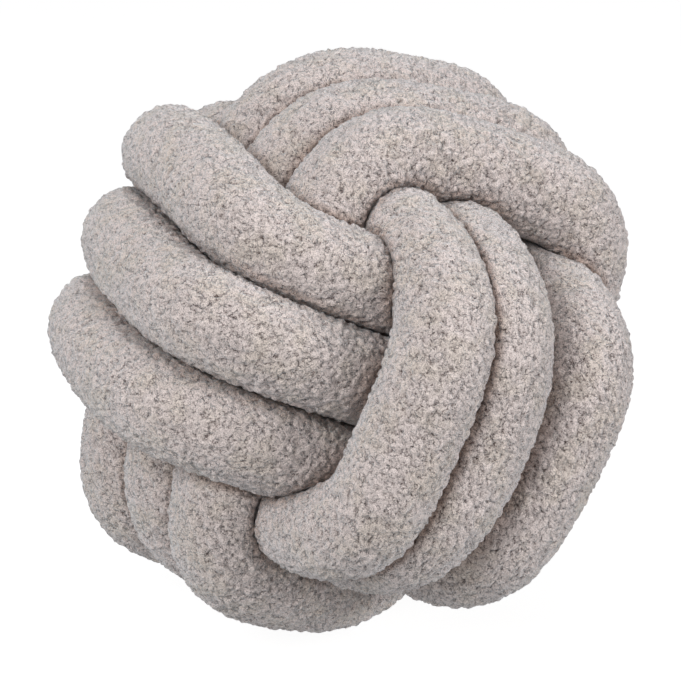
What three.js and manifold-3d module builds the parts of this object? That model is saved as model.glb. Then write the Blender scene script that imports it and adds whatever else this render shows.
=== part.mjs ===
// Knot cushion: one long tube of teddy boucle, stuffed and tied in a monkey's fist.
//
// The tube makes nine turns round the ball, three bands of three turns lying side by side. Each
// band runs square to the other two, passes over one of them and dives under the other, so the
// ball shows six faces of three parallel strands, and eight hollows where three bands meet. The
// tube's two ends are tucked and sewn inside, where the crossing strands fill the ball right
// through. It is one soft piece, so it is one solid.
//
// Millimetres, +Z up. The origin is on the floor under the middle of the cushion. -Y is its
// front: the middle of the front face of strands, and the band that crosses it, are seen from
// there.

import * as THREE from 'three';
import { mergeVertices } from 'three/addons/utils/BufferGeometryUtils.js';
import Module from 'manifold-3d';

// ---- Driving dimensions ----
const TUBE_RADIUS = 25;          // of the stuffed tube
const STRAND_SPACING = 47;       // between neighbours in a band, so they press together
const CROWN_REACH = 122.5;       // from the ball's middle to a middle strand's centreline
const OUTER_REACH_DROP = 3.5;    // a band's two outer turns lie this much lower on the ball
const HALF_RUN = 77;             // from the middle of a strand to where it dives under
const OUTER_RUN_DROP = 4;        // the outer turns are this much shorter each way
const SQUARENESS = 3.7;          // power of each turn's outline: 2 is an ellipse, 10 a box
const BAND_SKEW = 7;             // every strand slants this much towards the band it dives under
const FILLED_RADIUS = 100;       // within this the crossing strands leave no gap
const TILT_DEG = [-25.5, 5.5, -58.5];   // how the ball lies on the floor, turned about X, Y, Z
const MIDDLE = [0.8, 0.7, 140.5];      // the ball's middle: its lowest strands press 3 to 5 flat

// ---- Mesh fineness ----
const TURN_STEPS = 44;
const TUBE_SIDES = 12;
const FILL_DETAIL = 4;

const FABRIC = new THREE.MeshStandardMaterial({ color: 0xbbb3b0, roughness: 0.95, metalness: 0 });

// ---- The bands ----
// out: where the band's first face looks. along: which way its strands run there. across: from
// the band's middle turn to its near one.
const BANDS = {
  front: { out: [0, -1, 0], along: [1, 0, 0], across: [0, 0, 1] },
  side: { out: [1, 0, 0], along: [0, 0, 1], across: [0, -1, 0] },
  top: { out: [0, 0, 1], along: [0, -1, 0], across: [1, 0, 0] },
};

// ---- The strands ----
// A hand-tied ball is uneven. Each turn shows as one strand on its band's first face (face 1) and
// one on the opposite face (face -1). turn is 1 for the near turn, 0 for the middle one and -1
// for the far one. The rest is in mm, all of it fading out where the strand dives under:
//   side   moved across the band
//   lean   turned in the face, so that its leading end moves this much across
//   bow    both ends bent across
//   rise   lifted off the ball
//   shift  slid along its run
//   tip    leading end lifted and trailing end lowered
const STRANDS = [
  { band: 'front', face: 1, turn: 1, side: 4, lean: -4, bow: -9, rise: -2, shift: -6, tip: 0 },
  { band: 'front', face: 1, turn: 0, side: 0, lean: -3, bow: 6, rise: 2, shift: 3, tip: 3 },
  { band: 'front', face: 1, turn: -1, side: -1, lean: -3, bow: 9, rise: 1, shift: -1, tip: 2 },
  { band: 'front', face: -1, turn: 1, side: -19, lean: 0, bow: 1, rise: 0, shift: -2, tip: 0 },
  { band: 'front', face: -1, turn: 0, side: -9, lean: 2, bow: 3, rise: 0, shift: 2, tip: 1 },
  { band: 'front', face: -1, turn: -1, side: -2, lean: -3, bow: 4, rise: 0, shift: -3, tip: -1 },
  { band: 'side', face: 1, turn: 1, side: -9, lean: 7, bow: -3, rise: 3, shift: -12, tip: -3 },
  { band: 'side', face: 1, turn: 0, side: -1, lean: 8, bow: 16, rise: 0, shift: -7, tip: -2 },
  { band: 'side', face: 1, turn: -1, side: -3, lean: 2, bow: 3, rise: 1, shift: -6, tip: -1 },
  { band: 'side', face: -1, turn: 1, side: 4, lean: -4, bow: -5, rise: 1, shift: -3, tip: 1 },
  { band: 'side', face: -1, turn: 0, side: 1, lean: 3, bow: 5, rise: 2, shift: 3, tip: 0 },
  { band: 'side', face: -1, turn: -1, side: -2, lean: -3, bow: 6, rise: 0, shift: -2, tip: -2 },
  { band: 'top', face: 1, turn: 1, side: -4, lean: -13, bow: 3, rise: -9, shift: -1, tip: -9 },
  { band: 'top', face: 1, turn: 0, side: 2, lean: -1, bow: -3, rise: -4, shift: -1, tip: -16 },
  { band: 'top', face: 1, turn: -1, side: 3, lean: 8, bow: -1, rise: 7, shift: -1, tip: -16 },
  { band: 'top', face: -1, turn: 1, side: -7, lean: -13, bow: -10, rise: -3, shift: -3, tip: -2 },
  { band: 'top', face: -1, turn: 0, side: -1, lean: 2, bow: -2, rise: -5, shift: 1, tip: 2 },
  { band: 'top', face: -1, turn: -1, side: 0, lean: 1, bow: -2, rise: 3, shift: -4, tip: 0 },
];

// x raised to power, keeping its sign.
const signedPower = (x, power) => Math.sign(x) * Math.abs(x) ** power;

// One whole turn of the tube: a squared-off ring lying in its band's plane, CROWN_REACH high
// over each face and HALF_RUN either way along it. The first half of t is the strand on the
// band's first face, the second half the one opposite.
class TurnCurve extends THREE.Curve {
  constructor(bandName, turn) {
    super();
    const band = BANDS[bandName];
    this.out = new THREE.Vector3(...band.out);
    this.along = new THREE.Vector3(...band.along);
    this.across = new THREE.Vector3(...band.across);
    this.turn = turn;
    this.reach = CROWN_REACH - OUTER_REACH_DROP * Math.abs(turn);
    this.run = HALF_RUN - OUTER_RUN_DROP * Math.abs(turn);
    this.shown = STRANDS.filter((strand) => strand.band === bandName && strand.turn === turn);
    this.arcLengthDivisions = 1600;
  }

  getPoint(t, target = new THREE.Vector3()) {
    const angle = 2 * Math.PI * t;
    const face = Math.sin(angle) < 0 ? -1 : 1;
    const strand = this.shown.find((one) => one.face === face);
    const crown = signedPower(Math.abs(Math.sin(angle)), 2 / SQUARENESS);
    const lead = signedPower(-Math.cos(angle) * face, 2 / SQUARENESS);
    const out = crown * (this.reach + strand.rise + strand.tip * lead * crown);
    const along = this.run * lead + crown * strand.shift;
    const slant = (strand.lean - BAND_SKEW) * lead + strand.bow * lead * lead;
    const across = STRAND_SPACING * this.turn + crown * (strand.side + slant);
    return target.set(0, 0, 0)
      .addScaledVector(this.out, out * face)
      .addScaledVector(this.along, along * face)
      .addScaledVector(this.across, across);
  }
}

const { Manifold, Mesh } = await loadManifold();

async function loadManifold() {
  const library = await Module();
  library.setup();
  return library;
}

// A closed geometry as a solid that can be joined and cut.
function toSolid(geometry) {
  geometry.deleteAttribute('normal');
  geometry.deleteAttribute('uv');
  const merged = mergeVertices(geometry, 0.001);
  const vertProperties = new Float32Array(merged.attributes.position.array);
  const triVerts = new Uint32Array(merged.index.array);
  return new Manifold(new Mesh({ numProp: 3, vertProperties, triVerts }));
}

function toGeometry(solid) {
  const mesh = solid.getMesh();
  const geometry = new THREE.BufferGeometry();
  geometry.setAttribute('position', new THREE.BufferAttribute(mesh.vertProperties, 3));
  geometry.setIndex(new THREE.BufferAttribute(mesh.triVerts, 1));
  geometry.computeVertexNormals();
  return geometry;
}

// Stands the ball as it lies: tilted, with its middle at its height over the floor.
function layDown(geometry) {
  const [tiltX, tiltY, tiltZ] = TILT_DEG.map(THREE.MathUtils.degToRad);
  const turned = new THREE.Matrix4().makeRotationFromEuler(new THREE.Euler(tiltX, tiltY, tiltZ, 'ZYX'));
  return geometry.applyMatrix4(turned).translate(...MIDDLE);
}

// The tube of one turn, a closed ring.
function makeTurn(bandName, turn) {
  const curve = new TurnCurve(bandName, turn);
  return toSolid(layDown(new THREE.TubeGeometry(curve, TURN_STEPS, TUBE_RADIUS, TUBE_SIDES, true)));
}

// The crossing strands inside the ball, which leave no gap between them.
function makeFilledMiddle() {
  return toSolid(layDown(new THREE.IcosahedronGeometry(FILLED_RADIUS, FILL_DETAIL)));
}

// What would sink below the floor, which the strands' own weight presses flat.
function makeFloorBlock() {
  const size = 2 * (CROWN_REACH + TUBE_RADIUS) + 100;
  return toSolid(new THREE.BoxGeometry(size, size, size).translate(0, 0, -size / 2));
}

// Pockets closed off between the strands are stuffed too, so only the outside is kept.
function keepOutside(solid) {
  const shells = solid.decompose();
  return shells.reduce((best, shell) => (shell.volume() > best.volume() ? shell : best));
}

function makeKnot() {
  let knot = makeFilledMiddle();
  for (const bandName of Object.keys(BANDS)) {
    for (const turn of [1, 0, -1]) {
      knot = knot.add(makeTurn(bandName, turn));
    }
  }
  return keepOutside(knot.subtract(makeFloorBlock()));
}

const cushion = new THREE.Group();
cushion.name = 'knot_cushion';
const knottedTube = new THREE.Mesh(toGeometry(makeKnot()), FABRIC);
knottedTube.name = 'knotted_tube';
cushion.add(knottedTube);

export default cushion;
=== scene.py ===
import itertools
import math

import bpy
import numpy as np
from mathutils import Euler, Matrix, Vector


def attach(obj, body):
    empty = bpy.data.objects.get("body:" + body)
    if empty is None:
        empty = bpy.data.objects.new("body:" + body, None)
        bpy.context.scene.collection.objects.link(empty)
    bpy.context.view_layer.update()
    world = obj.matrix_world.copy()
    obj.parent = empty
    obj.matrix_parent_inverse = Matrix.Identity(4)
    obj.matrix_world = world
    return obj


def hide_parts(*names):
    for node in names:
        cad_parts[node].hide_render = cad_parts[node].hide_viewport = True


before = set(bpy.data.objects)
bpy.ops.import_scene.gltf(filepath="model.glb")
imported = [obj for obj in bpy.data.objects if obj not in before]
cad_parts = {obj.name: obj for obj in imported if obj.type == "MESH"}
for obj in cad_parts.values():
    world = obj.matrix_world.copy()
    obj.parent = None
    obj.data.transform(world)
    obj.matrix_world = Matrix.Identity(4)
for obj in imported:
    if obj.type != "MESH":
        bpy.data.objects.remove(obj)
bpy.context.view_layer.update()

bl_info = {
    "name": "Knot cushion",
    "version": (1, 0, 0),
    "blender": (4, 5, 0),
    "location": "View3D > Sidebar > Knot cushion",
    "description": "A stuffed tube of teddy boucle tied in a monkey's fist",
    "category": "Add Mesh",
}

MM = 0.001
SOLID = "knotted_tube"

# ---- How the tube runs ----
# The knot has three bands of three turns. out is where a band's first face looks, along is which
# way its strands run there, and across points from its middle turn to its near one.
BANDS = {
    "front": {"out": (0, -1, 0), "along": (1, 0, 0), "across": (0, 0, 1)},
    "side": {"out": (1, 0, 0), "along": (0, 0, 1), "across": (0, -1, 0)},
    "top": {"out": (0, 0, 1), "along": (0, -1, 0), "across": (1, 0, 0)},
}
TURNS = (1, 0, -1)

# A hand-tied ball is uneven. Each row is one strand, in mm, and all of it fades out where the
# strand dives under: side is how far it is moved across the band, lean how far its leading end
# is turned across, bow how far both ends are bent across, rise how far it is lifted, shift how
# far it is slid along its run, and tip how far its leading end is lifted.
STRAND_COLUMNS = ("side", "lean", "bow", "rise", "shift", "tip")
STRANDS = {
    ("front", 1, 1): (4, -4, -9, -2, -6, 0),
    ("front", 1, 0): (0, -3, 6, 2, 3, 3),
    ("front", 1, -1): (-1, -3, 9, 1, -1, 2),
    ("front", -1, 1): (-19, 0, 1, 0, -2, 0),
    ("front", -1, 0): (-9, 2, 3, 0, 2, 1),
    ("front", -1, -1): (-2, -3, 4, 0, -3, -1),
    ("side", 1, 1): (-9, 7, -3, 3, -12, -3),
    ("side", 1, 0): (-1, 8, 16, 0, -7, -2),
    ("side", 1, -1): (-3, 2, 3, 1, -6, -1),
    ("side", -1, 1): (4, -4, -5, 1, -3, 1),
    ("side", -1, 0): (1, 3, 5, 2, 3, 0),
    ("side", -1, -1): (-2, -3, 6, 0, -2, -2),
    ("top", 1, 1): (-4, -13, 3, -9, -1, -9),
    ("top", 1, 0): (2, -1, -3, -4, -1, -16),
    ("top", 1, -1): (3, 8, -1, 7, -1, -16),
    ("top", -1, 1): (-7, -13, -10, -3, -3, -2),
    ("top", -1, 0): (-1, 2, -2, -5, 1, 2),
    ("top", -1, -1): (0, 1, -2, 3, -4, 0),
}
SQUARENESS = 3.7                       # power of each turn's outline: 2 is an ellipse
OUTER_REACH_DROP = 3.5 * MM            # a band's two outer turns lie this much lower
OUTER_RUN_DROP = 4 * MM                # and are this much shorter each way
BAND_SKEW = 7 * MM                     # every strand slants towards the band it dives under
TILT = [math.radians(a) for a in (-25.5, 5.5, -58.5)]
MIDDLE = np.array((0.8, 0.7, 140.5)) * MM

# ---- Fineness ----
ROUGH_ROWS, ROUGH_COLUMNS = 240, 64    # of the first grid, which finds what can be seen
ROWS, COLUMNS = 540, 102               # of the finished grid of each turn
PLAIN_SHARE = 0.12                     # how dense the finished grid is where nothing is seen
OTHERS_STEPS = 160                     # points on each other turn that a ray is held off
PRESS_SHARPNESS = 16                   # how crisply two strands meet
FLOOR_SHARPNESS = 40                   # how crisply the floor flattens a strand
CENTRELINE_STEPS = 6001                # points that each centreline is measured on
SHOWS_ABOVE = 0.05                     # a row or column with more of it seen than this is a dense one

# ---- What can be seen, and where turns press, in tube radii ----
HIDDEN_DEPTH = 1.15                    # skin this far under the ball's outside is out of sight
HIDDEN_FADE = 5                        # how fast the pile fades towards that depth
PRESSED_LIMIT = 0.86                   # skin that meets another turn nearer than this is pressed
PRESSED_FADE = 8                       # how fast the pile fades towards that distance
FURROW_FROM, FURROW_TO = 0.9, 1.3      # meeting distances where a furrow is closed, and open

# ---- How the pile grows ----
BEND_SIZE = 0.7                        # size of the noise that curls the nubs, in nubs
BEND_SHARE = 0.35                      # how far it bends them, in nubs
SHORTEST_NUB = 0.6                     # height of the shortest nub, of the tallest one's 1
SKIN_HEIGHT = 0.6                      # pile this high lies on the plain skin


def linear(hex_colour):
    """sRGB hex to linear RGBA: c / 12.92 up to 0.04045, then ((c + 0.055) / 1.055) ** 2.4."""
    parts = [int(hex_colour[i:i + 2], 16) / 255 for i in (0, 2, 4)]
    return [c / 12.92 if c <= 0.04045 else ((c + 0.055) / 1.055) ** 2.4 for c in parts] + [1.0]


class KnotSizes(bpy.types.PropertyGroup):
    tube_radius: bpy.props.FloatProperty(
        name="Tube radius", description="Of the stuffed tube, where nothing presses on it",
        default=25 * MM, unit="LENGTH")
    strand_spacing: bpy.props.FloatProperty(
        name="Strand spacing", description="Between neighbours in a band",
        default=47 * MM, unit="LENGTH")
    crown_reach: bpy.props.FloatProperty(
        name="Crown reach", description="From the ball's middle to a middle strand's centreline",
        default=122.5 * MM, unit="LENGTH")
    half_run: bpy.props.FloatProperty(
        name="Half run", description="From the middle of a strand to where it dives under",
        default=77 * MM, unit="LENGTH")


class PileSizes(bpy.types.PropertyGroup):
    nub: bpy.props.FloatProperty(
        name="Nub size", description="Across one curled nub of looped yarn",
        default=4.0 * MM, unit="LENGTH")
    relief: bpy.props.FloatProperty(
        name="Pile relief", description="From the gaps between the nubs to their tops",
        default=2.8 * MM, unit="LENGTH")
    curl: bpy.props.FloatProperty(
        name="Curl size", description="Across one curl of the yarn",
        default=2.8 * MM, unit="LENGTH")
    thread: bpy.props.FloatProperty(
        name="Thread size", description="Across the yarn's threads, as coarse as they must be to show",
        default=0.7 * MM, unit="LENGTH")
    patch: bpy.props.FloatProperty(
        name="Patch size", description="Across a patch where the yarn's dye is warmer",
        default=16 * MM, unit="LENGTH")
    seed: bpy.props.IntProperty(
        name="Seed", description="Which scatter of nubs", default=7)


class Colours(bpy.types.PropertyGroup):
    yarn: bpy.props.FloatVectorProperty(
        name="Yarn", description="Looped yarn, at the tips", subtype="COLOR", size=4,
        min=0, max=1, default=linear("F4E7E3"))
    warm_yarn: bpy.props.FloatVectorProperty(
        name="Warm yarn", description="Where the dye is warmer", subtype="COLOR", size=4,
        min=0, max=1, default=linear("F0E3DA"))
    # painted shade: a darker, warmer yarn colour where two turns press into a furrow
    furrow_shade: bpy.props.FloatVectorProperty(
        name="Furrow yarn", description="Where two turns press together", subtype="COLOR", size=4,
        min=0, max=1, default=linear("DCC3B6"))
    # painted shade: the dark end of the lightness mix, shown in the gaps between nubs, curls and
    # threads and in furrows
    root: bpy.props.FloatVectorProperty(
        name="Roots", description="Looped yarn, deep in the pile", subtype="COLOR", size=4,
        min=0, max=1, default=linear("54413A"))
    haze: bpy.props.FloatVectorProperty(
        name="Haze", description="Loose fibres seen edge on", subtype="COLOR", size=4,
        min=0, max=1, default=linear("DDEAF2"))
    floor: bpy.props.FloatVectorProperty(
        name="Floor", description="Plain pale floor", subtype="COLOR", size=4,
        min=0, max=1, default=linear("7A7A7A"))


# ---- The tube ----

def signed_power(x, power):
    """x raised to power, keeping its sign."""
    return np.sign(x) * np.abs(x) ** power


def turn_centreline(sizes, band_name, turn, places):
    """One turn's centreline in the row frame, at places that run from 0 to 1 once round it.

    The turn is a superellipse in its band's plane: height above the ball's middle is
    |sin a| ** (2 / squareness) times the reach, and place along the run is
    |cos a| ** (2 / squareness) times the half run. Each strand's own unevenness is added,
    weighted by the same height from 0 to 1.
    """
    band = {key: np.array(axis, float) for key, axis in BANDS[band_name].items()}
    angle = np.linspace(0, 2 * np.pi, CENTRELINE_STEPS)
    face = np.where(np.sin(angle) < 0, -1, 1)
    crown = np.abs(np.sin(angle)) ** (2 / SQUARENESS)
    lead = signed_power(-np.cos(angle) * face, 2 / SQUARENESS)
    own = {}
    for column, name in enumerate(STRAND_COLUMNS):
        first, opposite = (STRANDS[band_name, side, turn][column] * MM for side in (1, -1))
        own[name] = np.where(face > 0, first, opposite)
    reach = sizes.crown_reach - OUTER_REACH_DROP * abs(turn)
    run = sizes.half_run - OUTER_RUN_DROP * abs(turn)
    out = crown * (reach + own["rise"] + own["tip"] * lead * crown)
    along = run * lead + crown * own["shift"]
    slant = (own["lean"] - BAND_SKEW) * lead + own["bow"] * lead ** 2
    across = sizes.strand_spacing * turn + crown * (own["side"] + slant)
    fine = (np.outer(out * face, band["out"]) + np.outer(along * face, band["along"])
            + np.outer(across, band["across"]))
    fine = fine @ np.array(Euler(TILT, "XYZ").to_matrix()).T + MIDDLE
    gone = np.r_[0, np.cumsum(np.linalg.norm(np.diff(fine, axis=0), axis=1))]
    return np.stack([np.interp(places * gone[-1], gone, fine[:, k]) for k in range(3)], axis=1)


def unit(vectors):
    """Vectors of length 1 that point the same ways."""
    return vectors / np.linalg.norm(vectors, axis=-1, keepdims=True)


def section_axes(line, across):
    """At each point of a closed line: across, squared to the line, and outwards from the ring."""
    ahead = unit(np.roll(line, -1, axis=0) - np.roll(line, 1, axis=0))
    sideways = unit(across - ahead * (ahead @ across)[:, None])
    outward = np.cross(ahead, sideways)
    if np.mean(np.sum(outward * (line - line.mean(axis=0)), axis=1)) < 0:
        outward = -outward
    return outward, sideways


def pressed_reach(line, rays, radius, others):
    """How far the tube swells from its centreline along each ray.

    A ray from c along u is as near to another centreline's point p as to its own when it has
    gone |p - c|^2 / (2 u.(p - c)), so there the two strands meet. The floor stops it at
    -c.z / u.z. Each limit m is joined smoothly to the reach r, as
    r (1 + (r / m) ^ k) ^ (-1 / k).
    """
    gap = others[None, :, :] - line[:, None, :]
    squared = np.sum(gap ** 2, axis=2).astype(np.float32)
    limit = np.empty(rays.shape[:2], np.float32)
    for step in range(len(line)):
        towards = (rays[step] @ gap[step].T).astype(np.float32)
        meet = squared[step] / (2 * np.maximum(towards, 1e-6))
        limit[step] = meet.min(axis=1)
    limit = limit.astype(float)
    reach = radius * (1 + (radius / limit) ** PRESS_SHARPNESS) ** (-1 / PRESS_SHARPNESS)
    floor = line[:, None, 2] / np.maximum(-rays[..., 2], 1e-6)
    reach = reach * (1 + (reach / floor) ** FLOOR_SHARPNESS) ** (-1 / FLOOR_SHARPNESS)
    return reach, limit


def turn_surface(sizes, name, others, places, angles):
    """One turn's skin as a grid of points, closed both ways: centreline + reach times the ray
    cos b outwards + sin b across. Gives its points, its normals and how free each point is:
    the distance to where another strand would press on it."""
    band_name, turn = name
    line = turn_centreline(sizes, band_name, turn, places)
    turned = np.array(Euler(TILT, "XYZ").to_matrix())
    outward, sideways = section_axes(line, turned @ np.array(BANDS[band_name]["across"], float))
    rays = (np.cos(angles)[None, :, None] * outward[:, None]
            + np.sin(angles)[None, :, None] * sideways[:, None])
    reach, limit = pressed_reach(line, rays, sizes.tube_radius, others)
    points = line[:, None] + reach[..., None] * rays
    ahead = np.roll(points, -1, axis=0) - np.roll(points, 1, axis=0)
    around = np.roll(points, -1, axis=1) - np.roll(points, 1, axis=1)
    normals = unit(np.cross(ahead, around))
    faces_out = np.mean(np.sum(normals * rays, axis=2)) > 0
    return points, normals if faces_out else -normals, limit, faces_out


def outermost(directions, centres, radius):
    """How far from the ball's middle its outside lies along each direction u: the most, over
    the centrelines' points c, of u.c + sqrt(r^2 - |c|^2 + (u.c)^2)."""
    centres = centres - MIDDLE
    squared = np.sum(centres ** 2, axis=1).astype(np.float32)
    along = (directions @ centres.T).astype(np.float32)
    inside = radius ** 2 - squared + along ** 2
    return np.where(inside > 0, along + np.sqrt(np.maximum(inside, 0)), 0).max(axis=1)


def seen(points, limit, centres, radius):
    """From 0 to 1, how much of the skin at each point can be seen: nothing where it is pressed
    on another strand or lies more than a strand's radius under the ball's outside."""
    flat = points.reshape(-1, 3) - MIDDLE
    depth = outermost(unit(flat), centres, radius) - np.linalg.norm(flat, axis=1)
    near_outside = np.clip(HIDDEN_FADE * (HIDDEN_DEPTH - depth / radius), 0, 1).reshape(limit.shape)
    free = np.clip(PRESSED_FADE * (limit / radius - PRESSED_LIMIT), 0, 1)
    return near_outside * free


def lines_by_weight(weights, count):
    """count places from 0 to 1, as close together as the weights at evenly spaced places ask:
    equal steps of the weights' running sum."""
    running = np.r_[0, np.cumsum(weights)]
    even = np.linspace(0, 1, len(running))
    return np.interp(np.arange(count) / count * running[-1], running, even)


def closed_grid(rows, columns):
    """Quads of a grid whose rows and columns both close on themselves."""
    i, j = np.meshgrid(np.arange(rows), np.arange(columns), indexing="ij")
    ahead, beside = (i + 1) % rows, (j + 1) % columns
    quads = np.stack([i * columns + j, ahead * columns + j, ahead * columns + beside,
                      i * columns + beside], axis=-1)
    return quads.reshape(-1, 4)


def folded_map(places, turns):
    """Where each quad's corners lie on a flat map: the turn is cut into two halves, laid one
    above the other, with the way round it across each half."""
    along = np.r_[places, 1.0]
    around = np.r_[turns, 1.0]
    i, j = np.meshgrid(np.arange(len(places)), np.arange(len(turns)), indexing="ij")
    corners = np.stack([np.stack([along[i + a], around[j + b]], axis=-1)
                        for a, b in ((0, 0), (1, 0), (1, 1), (0, 1))], axis=2)
    upper = (np.arange(len(places)) >= np.searchsorted(along, 0.5))[:, None, None]
    run = 2 * corners[..., 0] - upper
    return np.stack([0.01 + 0.98 * run / 1.02, (0.02 + 0.96 * corners[..., 1] + upper) / 2],
                    axis=-1).reshape(-1, 4, 2)


def new_piece(name, points, quads, material):
    """A mesh object at the origin from arrays of points and faces of one kind, smooth shaded."""
    mesh = bpy.data.meshes.new(name)
    mesh.vertices.add(len(points))
    mesh.vertices.foreach_set("co", np.ascontiguousarray(points, np.float32).ravel())
    mesh.loops.add(quads.size)
    mesh.loops.foreach_set("vertex_index", quads.astype(np.int32).ravel())
    mesh.polygons.add(len(quads))
    mesh.polygons.foreach_set("loop_start", np.arange(0, quads.size, quads.shape[1], dtype=np.int32))
    mesh.polygons.foreach_set("use_smooth", np.ones(len(quads), bool))
    mesh.update(calc_edges=True)
    mesh.materials.append(material)
    piece = bpy.data.objects.new(name, mesh)
    bpy.context.scene.collection.objects.link(piece)
    return piece


# ---- The pile ----

def cell_number(cells, salt):
    """A number from 0 to 1 for each cell of a lattice, always the same for the same cell: its
    three whole numbers times three large primes, mixed."""
    mixed = cells[..., 0] * 73856093 ^ cells[..., 1] * 19349663 ^ cells[..., 2] * 83492791
    mixed = (mixed + salt * 15485863) & 0xFFFFFFFF
    for shift, prime in ((15, 2246822519), (13, 3266489917)):
        mixed = (mixed ^ (mixed >> shift)) * prime & 0xFFFFFFFF
    return (mixed ^ (mixed >> 16)) / 0x100000000


def soft_noise(points, size, salt):
    """Smooth values from -1 to 1 that change over about size: the numbers of the lattice's
    corners round each point, blended by 3 t^2 - 2 t^3 along each axis."""
    cells = np.floor(points / size).astype(np.int64)
    part = points / size - cells
    part = part * part * (3 - 2 * part)
    total = 0
    for corner in itertools.product((0, 1), repeat=3):
        weight = np.prod(np.where(corner, part, 1 - part), axis=-1)
        total = total + weight * cell_number(cells + corner, salt)
    return 2 * total - 1


def nearest_nub(points, size, salt):
    """One nub's centre is strewn in each cell of a lattice. Gives the distance to the nearest
    centre over the distance to the next, and a number from 0 to 1 for the nearest nub."""
    scaled = points / size
    cells = np.floor(scaled).astype(np.int64)
    first = np.full(len(points), np.inf)
    second = np.full(len(points), np.inf)
    tone = np.zeros(len(points))
    for offset in itertools.product((-1, 0, 1), repeat=3):
        cell = cells + offset
        centre = cell + np.stack([cell_number(cell, salt + k) for k in (1, 2, 3)], axis=1)
        away = np.linalg.norm(scaled - centre, axis=1)
        nearer = away < first
        second = np.where(nearer, first, np.minimum(second, away))
        tone = np.where(nearer, cell_number(cell, salt), tone)
        first = np.where(nearer, away, first)
    return first / second, tone


def curled_pile(points, pile):
    """Height of the looped pile, from 0 in the gaps to 1 on the tallest nubs: each nub's own
    height times sqrt(1 - (first / second)^2) of the distances to the two nearest nubs, on
    places bent by noise so that the nubs are curled and not round."""
    bend = np.stack([soft_noise(points, BEND_SIZE * pile.nub, pile.seed + k) for k in (11, 12, 13)],
                    axis=1)
    ratio, own = nearest_nub(points + BEND_SHARE * pile.nub * bend, pile.nub, pile.seed)
    return np.sqrt(1 - ratio ** 2) * (SHORTEST_NUB + (1 - SHORTEST_NUB) * own)


def openness(limit, radius):
    """0 where two turns press together, 1 where the furrow between them is open:
    3 t^2 - 2 t^3 of t, which grows from 0 to 1 with the meeting distance."""
    share = np.clip((limit / radius - FURROW_FROM) / (FURROW_TO - FURROW_FROM), 0, 1)
    return share ** 2 * (3 - 2 * share)


def store(mesh, name, values):
    """A float for each vertex, which a material can read by name."""
    layer = mesh.attributes.new(name, "FLOAT", "POINT")
    layer.data.foreach_set("value", np.asarray(values, np.float32))


# ---- Materials ----

def add_node(tree, kind, inputs=None, **settings):
    """Adds a node and sets its properties. Each of inputs, by name or number, is linked to a socket
    or set to a value."""
    node = tree.nodes.new(kind)
    for key, value in settings.items():
        setattr(node, key, value)
    for key, value in (inputs or {}).items():
        if isinstance(value, bpy.types.NodeSocket):
            tree.links.new(value, node.inputs[key])
        else:
            node.inputs[key].default_value = value
    return node


def new_material(name):
    """An empty material, and its node tree."""
    material = bpy.data.materials.new(name)
    material.use_nodes = True
    tree = material.node_tree
    tree.nodes.clear()
    return material, tree


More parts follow.
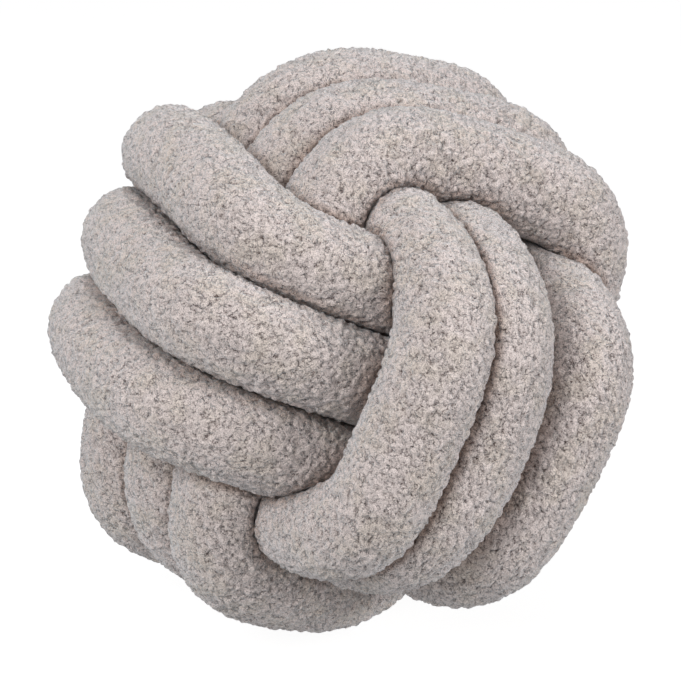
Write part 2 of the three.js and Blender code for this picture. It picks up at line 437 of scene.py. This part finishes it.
def teddy_boucle(colours, pile):
    """Teddy boucle, a knitted cloth of looped polyester yarn: matt and hairy. Its colour has painted
    shade between its curled nubs, in short thin gaps that wander round the curls and where two
    turns press into a furrow, painted shadows and highlights between and on single threads,
    slightly warmer and cooler patches as the yarn's dye varies, and a pale haze from its sheen
    at grazing angles, where its loose fibres catch the light."""
    material, tree = new_material("teddy_boucle")
    place = add_node(tree, "ShaderNodeTexCoord").outputs["Object"]
    # painted shade in the gaps between the nubs that the skin itself has: darker where the pile is low
    height = add_node(tree, "ShaderNodeAttribute", attribute_name="pile_height")
    nubs = add_node(tree, "ShaderNodeMapRange",
                    {"Value": height.outputs["Fac"], "From Min": 0.0, "From Max": 0.45},
                    interpolation_type="SMOOTHSTEP")
    # how open the furrow is: the material paints shade where two turns press together
    open_furrow = add_node(tree, "ShaderNodeAttribute", attribute_name="openness").outputs["Fac"]
    # painted shade in the curls' gaps, with some bump: edges of a cell pattern on bent places, of
    # which only stretches show
    bends = add_node(tree, "ShaderNodeTexNoise",
                     {"Vector": place, "Scale": 1 / (0.5 * pile.curl), "Detail": 1.0})
    bent = add_node(tree, "ShaderNodeVectorMath",
                    {0: bends.outputs["Color"], 1: [0.95 * pile.curl] * 3, 2: place},
                    operation="MULTIPLY_ADD")
    cells = add_node(tree, "ShaderNodeTexVoronoi", {"Vector": bent.outputs[0], "Scale": 1 / pile.curl},
                     feature="DISTANCE_TO_EDGE")
    edges = add_node(tree, "ShaderNodeMapRange",
                     {"Value": cells.outputs["Distance"], "From Min": 0.0, "From Max": 0.10},
                     interpolation_type="SMOOTHSTEP")
    covers = add_node(tree, "ShaderNodeTexNoise",
                      {"Vector": place, "Scale": 1 / (0.9 * pile.curl), "Detail": 1.0})
    covered = add_node(tree, "ShaderNodeMapRange",
                       {"Value": covers.outputs["Fac"], "From Min": 0.42, "From Max": 0.60},
                       interpolation_type="SMOOTHSTEP")
    curls = add_node(tree, "ShaderNodeMath",
                     {0: edges.outputs["Result"], 1: covered.outputs["Result"]}, operation="MAXIMUM")
    # a thread of the yarn is about 0.2 mm, too fine to show, so it is drawn as coarse as it must be,
    # in bump and as painted shade between threads and painted highlights on them
    threads = add_node(tree, "ShaderNodeTexNoise",
                       {"Vector": place, "Scale": 1 / pile.thread, "Detail": 2.0, "Roughness": 0.75})
    # each pattern's share of the painted light and shade, from the dark root colour up to the yarn,
    # and of the relief
    lightness, relief = -1.36, 0.0
    for pattern, light_share, relief_share in (
            (nubs.outputs["Result"], 0.5, 0.0),
            (open_furrow, 0.15, 0.0),
            (curls.outputs[0], 0.5, 0.6),
            (threads.outputs["Fac"], 2.0, 1.4)):
        lightness = add_node(tree, "ShaderNodeMath", {0: pattern, 1: light_share, 2: lightness},
                             operation="MULTIPLY_ADD").outputs[0]
        relief = add_node(tree, "ShaderNodeMath", {0: pattern, 1: relief_share, 2: relief},
                          operation="MULTIPLY_ADD").outputs[0]
    # a colour mix takes its two colours on inputs 6 and 7, and gives output 2
    patches = add_node(tree, "ShaderNodeTexNoise",
                       {"Vector": place, "Scale": 1 / pile.patch, "Detail": 2.0, "Roughness": 0.5})
    warmth = add_node(tree, "ShaderNodeMapRange",
                      {"Value": patches.outputs["Fac"], "From Min": 0.42, "From Max": 0.68},
                      interpolation_type="SMOOTHSTEP")
    dyed = add_node(tree, "ShaderNodeMix",
                    {"Factor": warmth.outputs["Result"], 6: colours.yarn, 7: colours.warm_yarn},
                    data_type="RGBA")
    # painted shade: the yarn turns to the darker furrow colour where two turns press together
    yarn_and_furrow_shade = add_node(tree, "ShaderNodeMix",
                        {"Factor": open_furrow, 6: colours.furrow_shade, 7: dyed.outputs[2]},
                        data_type="RGBA")
    # painted shade and highlights: the lightness runs the colour from the dark root colour up to the
    # yarn
    shade = add_node(tree, "ShaderNodeMix",
                     {"Factor": lightness, 6: colours.root, 7: yarn_and_furrow_shade.outputs[2]},
                     data_type="RGBA")
    bump = add_node(tree, "ShaderNodeBump",
                    {"Height": relief, "Strength": 1.0, "Distance": 0.6 * MM})
    shader = add_node(tree, "ShaderNodeBsdfPrincipled",
                      {"Base Color": shade.outputs[2], "Normal": bump.outputs["Normal"],
                       "Roughness": 0.95, "Specular IOR Level": 0.2, "Sheen Weight": 0.9,
                       "Sheen Roughness": 0.35, "Sheen Tint": colours.haze})
    add_node(tree, "ShaderNodeOutputMaterial", {"Surface": shader.outputs["BSDF"]})
    return material


def pale_floor(colours):
    """Backlit white acrylic sheet, as on a product table: matt, and lit from below, so that only
    the shadow close under the object shows."""
    material, tree = new_material("backlit_acrylic")
    shader = add_node(tree, "ShaderNodeBsdfPrincipled",
                      {"Base Color": colours.floor, "Roughness": 0.9, "Specular IOR Level": 0.0,
                       "Emission Color": (1, 1, 1, 1), "Emission Strength": 0.91})
    add_node(tree, "ShaderNodeOutputMaterial", {"Surface": shader.outputs["BSDF"]})
    return material


# ---- Operators ----

def dense_lines(sizes, name, others, every):
    """Where one turn's rows and columns lie, from 0 to 1, dense where a rough grid is seen."""
    places = np.arange(ROUGH_ROWS) / ROUGH_ROWS
    shares = np.arange(ROUGH_COLUMNS) / ROUGH_COLUMNS
    points, _, limit, _ = turn_surface(sizes, name, others, places, 2 * np.pi * shares)
    shown = seen(points, limit, every, sizes.tube_radius)
    return (lines_by_weight(PLAIN_SHARE + (shown.max(axis=1) > SHOWS_ABOVE), ROWS),
            lines_by_weight(PLAIN_SHARE + (shown.mean(axis=0) > SHOWS_ABOVE), COLUMNS))


def furry_turn(sizes, pile, name, others, every, material):
    """One turn as a piece: its skin, raised along its normals by the pile where it is seen."""
    places, shares = dense_lines(sizes, name, others, every)
    points, normals, limit, faces_out = turn_surface(
        sizes, name, others, places, 2 * np.pi * shares)
    shown = seen(points, limit, every, sizes.tube_radius).ravel()
    points, normals = points.reshape(-1, 3), normals.reshape(-1, 3)
    height = curled_pile(points, pile)
    points = points + normals * ((height - SKIN_HEIGHT) * pile.relief * shown)[:, None]
    points[:, 2] = np.maximum(points[:, 2], 0)
    quads, flat_map = closed_grid(ROWS, COLUMNS), folded_map(places, shares)
    if not faces_out:
        quads, flat_map = quads[:, ::-1], flat_map[:, ::-1]
    band, turn = name
    piece = new_piece(f"stuffed_turn_{band}_{TURNS.index(turn) + 1}", points, quads, material)
    layer = piece.data.uv_layers.new(name="OFBake", do_init=False)
    layer.uv.foreach_set("vector", flat_map.astype(np.float32).ravel())
    # the material paints shade from these: darker in the gaps between nubs and where two turns press
    # together
    store(piece.data, "pile_height", height)
    store(piece.data, "openness", openness(limit.ravel(), sizes.tube_radius))
    return piece


class KNOT_OT_turns(bpy.types.Operator):
    """Make the stuffed tube's nine turns, pressed flat where they meet and covered in pile"""
    bl_idname = "knot_cushion.turns"
    bl_label = "Turns of the stuffed tube"

    def execute(self, context):
        scene = context.scene
        sizes, pile = scene.knot_sizes, scene.knot_pile
        cloth = teddy_boucle(scene.knot_colours, pile)
        names = [(band, turn) for band in BANDS for turn in TURNS]
        even = np.arange(OTHERS_STEPS) / OTHERS_STEPS
        lines = {name: turn_centreline(sizes, *name, even) for name in names}
        every = np.concatenate([line[::3] for line in lines.values()])
        for name in names:
            others = np.concatenate([line for other, line in lines.items() if other != name])
            piece = furry_turn(sizes, pile, name, others, every, cloth)
            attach(piece, "root")
            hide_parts(SOLID)
        return {"FINISHED"}


# ---- The stage ----

FLOOR_HALF = 6.0                       # half the floor's width
SOFTBOX_ACROSS = 1.2
# Each softbox's place from the ball's middle, at which it is aimed, and its power.
SOFTBOXES = {
    "key_softbox": {"place": (-1.12, -1.60, 1.22), "watts": 27},
    "side_softbox": {"place": (2.15, -0.57, 0.60), "watts": 27},
    "top_softbox": {"place": (0, -0.10, 2.30), "watts": 14},
}
STUDIO_FROM_BELOW, STUDIO_FROM_ABOVE = 0.66, 0.28
SENSOR_WIDTH = 36                      # of the camera, in mm
CAMERA_DISTANCE = 1.3
CAMERA_RISE = math.radians(15)
PIXELS_PER_METRE = 1950                # of the render, at the ball's middle
RENDER_PIXELS = 681
BALL_PIXEL = (347, 347.5)              # where the ball's middle shows in the render


def aim(thing, place, target):
    """Puts a lamp or camera at place, looking at target."""
    thing.location = place
    thing.rotation_euler = (Vector(target) - Vector(place)).to_track_quat("-Z", "Y").to_euler()


def add_softbox(name, place, target, watts):
    """A round softbox, as an area lamp."""
    data = bpy.data.lights.new(name, "AREA")
    data.shape = "DISK"
    data.size = SOFTBOX_ACROSS
    data.energy = watts
    lamp = bpy.data.objects.new(name, data)
    aim(lamp, place, target)
    bpy.context.scene.collection.objects.link(lamp)


def studio_light():
    """A white studio's own light, mostly thrown back up by its floor: the strength goes with the
    direction's height from -1 to 1."""
    world = bpy.data.worlds.new("studio")
    world.use_nodes = True
    tree = world.node_tree
    look = add_node(tree, "ShaderNodeTexCoord")
    height = add_node(tree, "ShaderNodeSeparateXYZ", {0: look.outputs["Generated"]})
    strength = add_node(tree, "ShaderNodeMapRange",
                        {"Value": height.outputs["Z"], "From Min": -1.0, "From Max": 1.0,
                         "To Min": STUDIO_FROM_BELOW, "To Max": STUDIO_FROM_ABOVE})
    tree.links.new(strength.outputs["Result"], tree.nodes["Background"].inputs["Strength"])
    tree.nodes["Background"].inputs["Color"].default_value = (1, 1, 1, 1)
    return world


def camera_at_the_ball(middle):
    """A camera that shows the ball's middle at its pixel: it looks past it, aside and above, by
    the pixels between there and the render's middle."""
    back = Vector((0, -math.cos(CAMERA_RISE), math.sin(CAMERA_RISE)))
    up = Vector((0, math.sin(CAMERA_RISE), math.cos(CAMERA_RISE)))
    half_render = RENDER_PIXELS / 2
    aside = (half_render - BALL_PIXEL[0]) / PIXELS_PER_METRE
    above = (BALL_PIXEL[1] - half_render) / PIXELS_PER_METRE
    target = middle + Vector((aside, 0, 0)) + above * up
    data = bpy.data.cameras.new("camera")
    data.sensor_width = SENSOR_WIDTH
    data.lens = PIXELS_PER_METRE * CAMERA_DISTANCE / RENDER_PIXELS * data.sensor_width
    camera = bpy.data.objects.new("camera", data)
    aim(camera, target + CAMERA_DISTANCE * back, target)
    bpy.context.scene.collection.objects.link(camera)
    return camera


class KNOT_OT_stage(bpy.types.Operator):
    """Set the floor, the light and the camera"""
    bl_idname = "knot_cushion.stage"
    bl_label = "Floor, light and camera"

    def execute(self, context):
        scene = context.scene
        half = FLOOR_HALF
        corners = np.array([(-half, -half, 0), (half, -half, 0), (half, half, 0), (-half, half, 0)])
        floor = new_piece("floor", corners, np.array([[0, 1, 2, 3]]), pale_floor(scene.knot_colours))
        floor.visible_diffuse = False      # its light would fill the shaded side
        scene.world = studio_light()
        middle = Vector(MIDDLE)
        for name, softbox in SOFTBOXES.items():
            add_softbox(name, middle + Vector(softbox["place"]), middle, softbox["watts"])
        scene.camera = camera_at_the_ball(middle)
        scene.view_settings.view_transform = "Standard"
        return {"FINISHED"}


class KNOT_PT_panel(bpy.types.Panel):
    """Shows the cushion's sizes, pile and colours, and buttons for its two operators"""
    bl_label = "Knot cushion"
    bl_idname = "KNOT_PT_panel"
    bl_space_type = "VIEW_3D"
    bl_region_type = "UI"
    bl_category = "Knot cushion"

    def draw(self, context):
        scene = context.scene
        for group in (scene.knot_sizes, scene.knot_pile, scene.knot_colours):
            for name in group.__annotations__:
                self.layout.prop(group, name)
        for operator in (KNOT_OT_turns, KNOT_OT_stage):
            self.layout.operator(operator.bl_idname)


CLASSES = (KnotSizes, PileSizes, Colours, KNOT_OT_turns, KNOT_OT_stage, KNOT_PT_panel)


def register():
    for item in CLASSES:
        bpy.utils.register_class(item)
    bpy.types.Scene.knot_sizes = bpy.props.PointerProperty(type=KnotSizes)
    bpy.types.Scene.knot_pile = bpy.props.PointerProperty(type=PileSizes)
    bpy.types.Scene.knot_colours = bpy.props.PointerProperty(type=Colours)


def unregister():
    del bpy.types.Scene.knot_sizes
    del bpy.types.Scene.knot_pile
    del bpy.types.Scene.knot_colours
    for item in reversed(CLASSES):
        bpy.utils.unregister_class(item)


def main():
    register()
    bpy.ops.knot_cushion.turns()
    bpy.ops.knot_cushion.stage()


if __name__ == "__main__":
    main()
